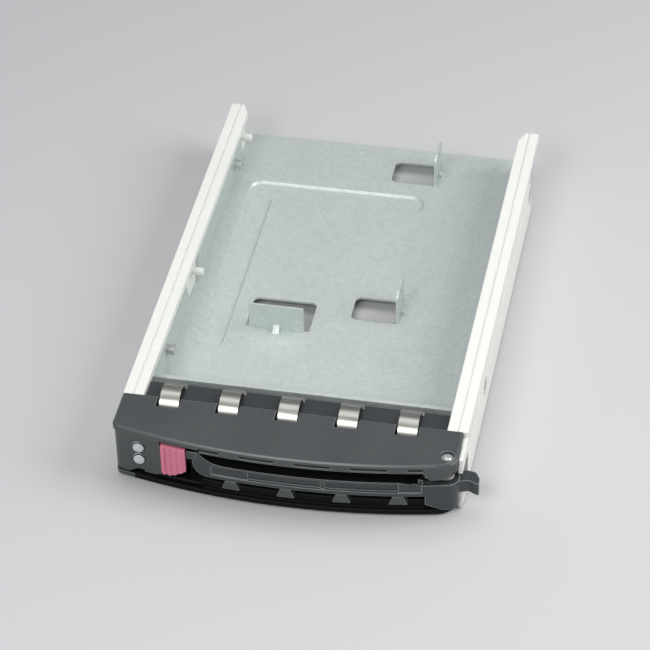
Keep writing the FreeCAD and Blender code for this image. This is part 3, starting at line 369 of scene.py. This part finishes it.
dulling = math_node(drawn, "MULTIPLY", lines, LINE_DULLING)
gloss = math_node(drawn, "ADD", drawn_in.outputs["Gloss"], dulling)
drawn.links.new(gloss, drawn_out.inputs["Roughness"])
drawn.links.new(lines, drawn_out.inputs["Height"])
print("groups", spangle.name, drawn.name)

# %% Metal materials
METAL_EDGE = 0.00015
METAL_DEPTH = 0.0001


def metal(name, group, dark, light, gloss, bump, metallic, **more):
    material = bpy.data.materials.new(name)
    material.use_nodes = True
    tree = material.node_tree
    shader = tree.nodes["Principled BSDF"]
    shader.inputs["Metallic"].default_value = metallic
    effect = tree.nodes.new("ShaderNodeGroup")
    effect.node_tree = group
    effect.inputs["Dark"].default_value = dark
    effect.inputs["Light"].default_value = light
    effect.inputs["Gloss"].default_value = gloss
    for label, value in more.items():
        effect.inputs[label.replace("_", " ")].default_value = value
    tree.links.new(effect.outputs["Color"], shader.inputs["Base Color"])
    tree.links.new(effect.outputs["Roughness"], shader.inputs["Roughness"])
    edges = tree.nodes.new("ShaderNodeBevel")
    edges.samples = 4
    edges.inputs["Radius"].default_value = METAL_EDGE
    relief = tree.nodes.new("ShaderNodeBump")
    relief.inputs["Strength"].default_value = bump
    relief.inputs["Distance"].default_value = METAL_DEPTH
    tree.links.new(effect.outputs["Height"], relief.inputs["Height"])
    tree.links.new(edges.outputs["Normal"], relief.inputs["Normal"])
    tree.links.new(relief.outputs["Normal"], shader.inputs["Normal"])
    return material


pan_zinc = metal("pan_zinc", spangle, linear(182, 192, 190), linear(216, 223, 220),
                 gloss=0.40, bump=0.05, metallic=0.3)
finger_steel = metal("finger_steel", drawn, linear(136, 136, 129), linear(202, 202, 194),
                     gloss=0.24, bump=0.05, metallic=1.0, Stretch=(0.05, 1.0, 1.0))
screw_steel = metal("screw_steel", drawn, linear(172, 174, 174), linear(224, 226, 226),
                    gloss=0.22, bump=0.05, metallic=0.7, Stretch=(1.0, 1.0, 0.1))
print("metals", [m.name for m in (pan_zinc, finger_steel, screw_steel)])

# %% Finishes onto the frame
finish_of = {"bezel": bezel_grey, "lever": lever_grey, "release_button": button_pink,
             "adapter_pan": pan_zinc, "left_rail": rail_white, "right_rail": rail_white,
             "upper_light_pipe": lens_milk, "lower_light_pipe": lens_milk,
             "pan_screws": screw_steel, "rail_screws": screw_steel, "lever_pivot_pin": screw_steel}
for name, node in nodes.items():
    finish = finish_of.get(name, finger_steel)
    node.data.materials.clear()
    node.data.materials.append(finish)
    print("finish", name, finish.name)

# %% [markdown]
# ## Softened mouldings
# A moulding tool leaves small radii on every edge. The construction model keeps most of its edges plain, so
# here a copy of each moulded piece is cleaned up and bevelled, and the copy stands for the piece. The import
# is loose triangles: they are merged by distance, and flat areas are dissolved into single faces so that
# the Bevel modifier meets real edges only. The angle limit leaves the facets of round surfaces alone.

# %% Softened copies
MERGE = 0.000002
FLAT_ANGLE = math.radians(0.6)
SHARP_ANGLE = math.radians(40.0)
SMOOTH_ANGLE = math.radians(35.0)


def copy_of(name, title):
    """A copy of a construction piece, with its doubles merged and flat areas made single faces."""
    bpy.ops.object.select_all(action="DESELECT")
    piece = nodes[name].copy()
    piece.data = nodes[name].data.copy()
    piece.name = title
    bpy.context.scene.collection.objects.link(piece)
    piece.select_set(True)
    bpy.context.view_layer.objects.active = piece
    bpy.ops.object.mode_set(mode="EDIT")
    bpy.ops.mesh.select_all(action="SELECT")
    bpy.ops.mesh.remove_doubles(threshold=MERGE)
    bpy.ops.mesh.dissolve_limited(angle_limit=FLAT_ANGLE)
    bpy.ops.object.mode_set(mode="OBJECT")
    return piece


def soften(piece, width):
    """Rounds the sharp edges, and weights the normals so that flat faces stay flat up to the radius."""
    bevel = piece.modifiers.new("edge_radius", "BEVEL")
    bevel.width = width
    bevel.segments = 2
    bevel.limit_method = "ANGLE"
    bevel.angle_limit = SHARP_ANGLE
    bevel.use_clamp_overlap = True
    bpy.ops.object.modifier_apply(modifier=bevel.name)
    bpy.ops.object.shade_smooth_by_angle(angle=SMOOTH_ANGLE)
    flats = piece.modifiers.new("flat_faces", "WEIGHTED_NORMAL")
    flats.mode = "FACE_AREA"
    flats.weight = 100
    flats.keep_sharp = True
    bpy.ops.object.modifier_apply(modifier=flats.name)


def stands_for(piece, name, body):
    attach(piece, body)
    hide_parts(name)
    print(piece.name, "stands for", name, "with", len(piece.data.polygons), "faces")


moulded = (("left_rail", "tray", "rail_plastic", 0.0003), ("right_rail", "tray", "rail_plastic", 0.0003),
           ("lever", "lever", "lever_plastic", 0.0003), ("bezel", "tray", "bezel_plastic", 0.0003),
           ("release_button", "release_button", "button_plastic", 0.0002))
softened = {}
for name, body, slot, width in moulded:
    softened[name] = copy_of(name, name + "_softened")
    soften(softened[name], width)
    stands_for(softened[name], name, body)

# %% [markdown]
# ## Dark hollows
# The inside of the bezel's mouth, its sill and foot, and the top of the lever under the lip get a matt,
# almost black material as painted shade, for the shadow that falls there. The lowered shelf behind the plate
# gets a darker grey than the plate, which is painted shade as well. Those faces get a material of their own.
# The front is bowed, so how far a face lies behind it is measured from the bow's own circle, which follows
# from the bezel's width and how far its middle stands out.

# %% Faces with painted shade
BOW = 0.0065
HALF_WIDTH = 0.055
LIP_DEEP = 0.0028
SILL_HEIGHT = 0.0021
PLATE_UNDER = 0.0197
MOUTH_REAR = -0.0112
MOUTH_SPAN = (-0.0415, 0.0460)
FOOT_TOP = 0.0055
FOOT_DEEP = 0.0200
FOOT_SPAN = (-0.0500, 0.0540)
LEVER_HOOK = 0.0430
LEVER_LIT = 0.0022
SHELF_FRONT = -0.0200
SHELF_LOW = 0.0190
SHELF_HIGH = 0.0205
UPWARD = 0.5
LEVEL_FACE = 0.9
bow_radius = (HALF_WIDTH ** 2 + BOW ** 2) / (2 * BOW)
bow_middle = Vector((0.0, cad_box[0][1] + bow_radius))


def behind_front(place):
    return bow_radius - (place.xy - bow_middle).length


def in_painted_shade(face):
    """True for a face of the bezel in the mouth, on the sill or on the foot, where shade is painted."""
    place = face.center
    behind = behind_front(place)
    mouth = behind > LIP_DEEP and SILL_HEIGHT < place.z < PLATE_UNDER and place.y < MOUTH_REAR
    foot = place.z < FOOT_TOP and behind < FOOT_DEEP and face.normal.z > -UPWARD
    in_mouth = mouth and MOUTH_SPAN[0] < place.x < MOUTH_SPAN[1]
    return in_mouth or (foot and FOOT_SPAN[0] < place.x < FOOT_SPAN[1])


def under_lip(face):
    """True for a face of the lever's top that the lip shades."""
    shaded = face.center.x < LEVER_HOOK and behind_front(face.center) > LEVER_LIT
    return face.normal.z > UPWARD and shaded


def on_shelf(face):
    """True for the lowered shelf behind the plate, which gets a duller grey, darkened as painted shade."""
    behind_plate = face.center.y > SHELF_FRONT
    return face.normal.z > LEVEL_FACE and behind_plate and SHELF_LOW < face.center.z < SHELF_HIGH


# Each test picks the faces that get a painted shade material.
for name, test, dark in (("bezel", in_painted_shade, painted_shade_black), ("lever", under_lip, painted_shade_black),
                         ("bezel", on_shelf, shelf_painted_shade)):
    mesh = softened[name].data
    mesh.materials.append(dark)
    darkened = [face for face in mesh.polygons if test(face)]
    for face in darkened:
        face.material_index = len(mesh.materials) - 1
    print(dark.name, "on the", name, len(darkened), "faces")

# %% [markdown]
# ## Lamp lenses
# Each light guide ends in a little milky dome that sits in a near-black collar, a painted shadow of the gap
# round the lens. One is modelled as by hand: a flat cylinder whose front face is inset for the collar, then
# raised and inset again in three small steps for the dome. The second is a copy with its own mesh, moved
# down to the lower lamp.

# %% Lens modelling helpers
def pick_faces(piece, test):
    """Selects, in edit mode, just the faces that pass the test."""
    bpy.ops.object.mode_set(mode="OBJECT")
    for edge in piece.data.edges:
        edge.select = False
    for vertex in piece.data.vertices:
        vertex.select = False
    for face in piece.data.polygons:
        face.select = test(face)
    bpy.ops.object.mode_set(mode="EDIT")
    bpy.ops.mesh.select_mode(type="FACE")


def domed(piece, towards, steps):
    """Insets the face that looks that way again and again, and moves each inset along it."""
    direction = Vector(towards)
    pick_faces(piece, lambda face: face.normal.dot(direction) > 0.99)
    for inset, rise in steps:
        bpy.ops.mesh.inset(thickness=inset)
        bpy.ops.transform.translate(value=direction * rise)
    bpy.ops.object.mode_set(mode="OBJECT")


# %% Lenses
LENS_STEPS = ((0.00025, 0.0), (0.00005, 0.00020), (0.00045, 0.00028), (0.00050, 0.00014),
              (0.00045, 0.00004))
COLLAR_DEEP = 0.0003
HAIR = 0.00001
LENS_RADIUS = 0.00205
LAMP_X = -0.0465
UPPER_LAMP = 0.0143
LOWER_LAMP = 0.0094
pipe_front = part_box("upper_light_pipe")[0][1]
bpy.ops.object.select_all(action="DESELECT")
bpy.ops.mesh.primitive_cylinder_add(vertices=40, radius=LENS_RADIUS, depth=COLLAR_DEEP,
                                    rotation=(math.pi / 2, 0.0, 0.0),
                                    location=(LAMP_X, pipe_front - COLLAR_DEEP / 2, UPPER_LAMP))
upper_lens = bpy.context.object
upper_lens.name = "upper_lens"
bpy.ops.object.transform_apply(location=True, rotation=True, scale=True)
domed(upper_lens, (0.0, -1.0, 0.0), LENS_STEPS)
# The collar faces get the near-black painted shade; the dome gets the milky lens material.
upper_lens.data.materials.append(painted_shade_black)
upper_lens.data.materials.append(lens_milk)
collar_face = pipe_front - COLLAR_DEEP
for face in upper_lens.data.polygons:
    face.material_index = 1 if face.center.y < collar_face - HAIR else 0
bpy.ops.object.shade_smooth_by_angle(angle=math.radians(40.0))
lower_lens = upper_lens.copy()
lower_lens.data = upper_lens.data.copy()
lower_lens.name = "lower_lens"
lower_lens.data.transform(Matrix.Translation((0.0, 0.0, LOWER_LAMP - UPPER_LAMP)))
bpy.context.scene.collection.objects.link(lower_lens)
for lens in (upper_lens, lower_lens):
    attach(lens, "tray")
    print(lens.name, "with", len(lens.data.polygons), "faces")

# %% [markdown]
# ## Pin head
# The lever's pin is riveted into the top plate, so its head is a low polished dome with a small dimple in
# the middle. It starts as a flat cylinder on the pin's own head and is drawn up by inset steps, as the
# lenses are.

# %% Riveted head
RIVET_STEPS = ((0.00020, 0.00016), (0.00035, 0.00014), (0.00035, 0.00004), (0.00010, -0.00034))
RIVET_RADIUS = 0.00150
RIVET_DEEP = 0.0001
pin_low, pin_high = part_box("lever_pivot_pin")
pin_middle = [(a + b) / 2 for a, b in zip(pin_low, pin_high)]
bpy.ops.object.select_all(action="DESELECT")
bpy.ops.mesh.primitive_cylinder_add(vertices=40, radius=RIVET_RADIUS, depth=RIVET_DEEP,
                                    location=(pin_middle[0], pin_middle[1], pin_high[2] + RIVET_DEEP / 2))
rivet = bpy.context.object
rivet.name = "riveted_head"
bpy.ops.object.transform_apply(location=True, rotation=True, scale=True)
domed(rivet, (0.0, 0.0, 1.0), RIVET_STEPS)
rivet.data.materials.append(screw_steel)
bpy.ops.object.shade_smooth_by_angle(angle=math.radians(45.0))
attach(rivet, "tray")
print("riveted head with", len(rivet.data.polygons), "faces")

# %% [markdown]
# ## Screw recesses
# The countersunk screws have a cross recess for the driver. Copies of the plain screws are cut with crossed
# blocks by an applied Boolean modifier: one pair of blocks for each head, on the face where the driver goes
# in.

# %% Cross recesses
def cross_cut(name, title, heads, deep, long, wide):
    """A copy of a group of screws with a cross cut into each head."""
    screws = copy_of(name, title)
    bpy.ops.object.select_all(action="DESELECT")
    blocks = []
    for head in heads:
        for tall, broad in ((long, wide), (wide, long)):
            bpy.ops.mesh.primitive_cube_add(size=1.0, location=head, scale=(deep * 2, tall, broad))
            blocks.append(bpy.context.object)
    for block in blocks:
        block.select_set(True)
    bpy.ops.object.join()
    cutter = bpy.context.object
    bpy.ops.object.transform_apply(location=True, rotation=True, scale=True)
    bpy.ops.object.select_all(action="DESELECT")
    screws.select_set(True)
    bpy.context.view_layer.objects.active = screws
    slot = screws.modifiers.new("cross_recess", "BOOLEAN")
    slot.operation = "DIFFERENCE"
    slot.solver = "EXACT"
    slot.use_self = True
    slot.object = cutter
    bpy.ops.object.modifier_apply(modifier=slot.name)
    bpy.data.objects.remove(cutter)
    bpy.ops.object.shade_smooth_by_angle(angle=SMOOTH_ANGLE)
    return screws


def head_places(name, radius, rows):
    """The middles of a screw group's outer faces on both sides, in one row along the tray or two."""
    low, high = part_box(name)
    height = (low[2] + high[2]) / 2
    depths = (low[1] + radius, high[1] - radius)[:rows]
    return [(side, depth, height) for side in (low[0], high[0]) for depth in depths]


PAN_HEAD = 0.0032
RAIL_HEAD = 0.0017
pan_places = head_places("pan_screws", PAN_HEAD, 2)
pan_heads = cross_cut("pan_screws", "pan_screws_crossed", pan_places,
                      deep=0.0011, long=0.0034, wide=0.0008)
stands_for(pan_heads, "pan_screws", "tray")
rail_places = head_places("rail_screws", RAIL_HEAD, 1)
rail_heads = cross_cut("rail_screws", "rail_screws_crossed", rail_places,
                       deep=0.0006, long=0.0019, wide=0.0005)
stands_for(rail_heads, "rail_screws", "tray")

# %% [markdown]
# ## Button spring
# The button's return spring is a short coil of wire behind its stem. A small circle is swept into turns by
# an applied Screw modifier, and its open ends are filled. The real spring gets shorter when the button
# slides; this coil keeps its length and stays with the tray.

# %% Coil
TURNS = 3
WIRE = 0.0004
TURN_STEPS = 28
coil_low, coil_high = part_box("button_spring")
coil_length = coil_high[0] - coil_low[0] - WIRE
coil_radius = (coil_high[2] - coil_low[2] - WIRE) / 2
coil_middle = [(a + b) / 2 for a, b in zip(coil_low, coil_high)]
bpy.ops.object.select_all(action="DESELECT")
bpy.ops.mesh.primitive_circle_add(vertices=10, radius=WIRE / 2, rotation=(math.pi / 2, 0.0, 0.0),
                                  location=(0.0, 0.0, coil_radius))
coil = bpy.context.object
coil.name = "button_coil"
bpy.ops.object.transform_apply(location=True, rotation=True, scale=True)
sweep = coil.modifiers.new("coil_turns", "SCREW")
sweep.axis = "X"
sweep.angle = 2 * math.pi
sweep.iterations = TURNS
sweep.screw_offset = coil_length / TURNS
sweep.steps = TURN_STEPS
sweep.render_steps = TURN_STEPS
bpy.ops.object.modifier_apply(modifier=sweep.name)
bpy.ops.object.mode_set(mode="EDIT")
bpy.ops.mesh.select_all(action="SELECT")
bpy.ops.mesh.remove_doubles(threshold=MERGE)
bpy.ops.mesh.fill_holes(sides=0)
bpy.ops.mesh.normals_make_consistent(inside=False)
bpy.ops.object.mode_set(mode="OBJECT")
coil.location = (coil_low[0] + WIRE / 2, coil_middle[1], coil_middle[2])
bpy.ops.object.transform_apply(location=True, rotation=True, scale=True)
bpy.ops.object.shade_smooth_by_angle(angle=math.radians(50.0))
coil.data.materials.append(finger_steel)
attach(coil, "tray")
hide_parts("button_spring")
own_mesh(coil)
print("coil", TURNS, "turns, length", round(coil_length * 1000, 2), "mm, faces", len(coil.data.polygons))
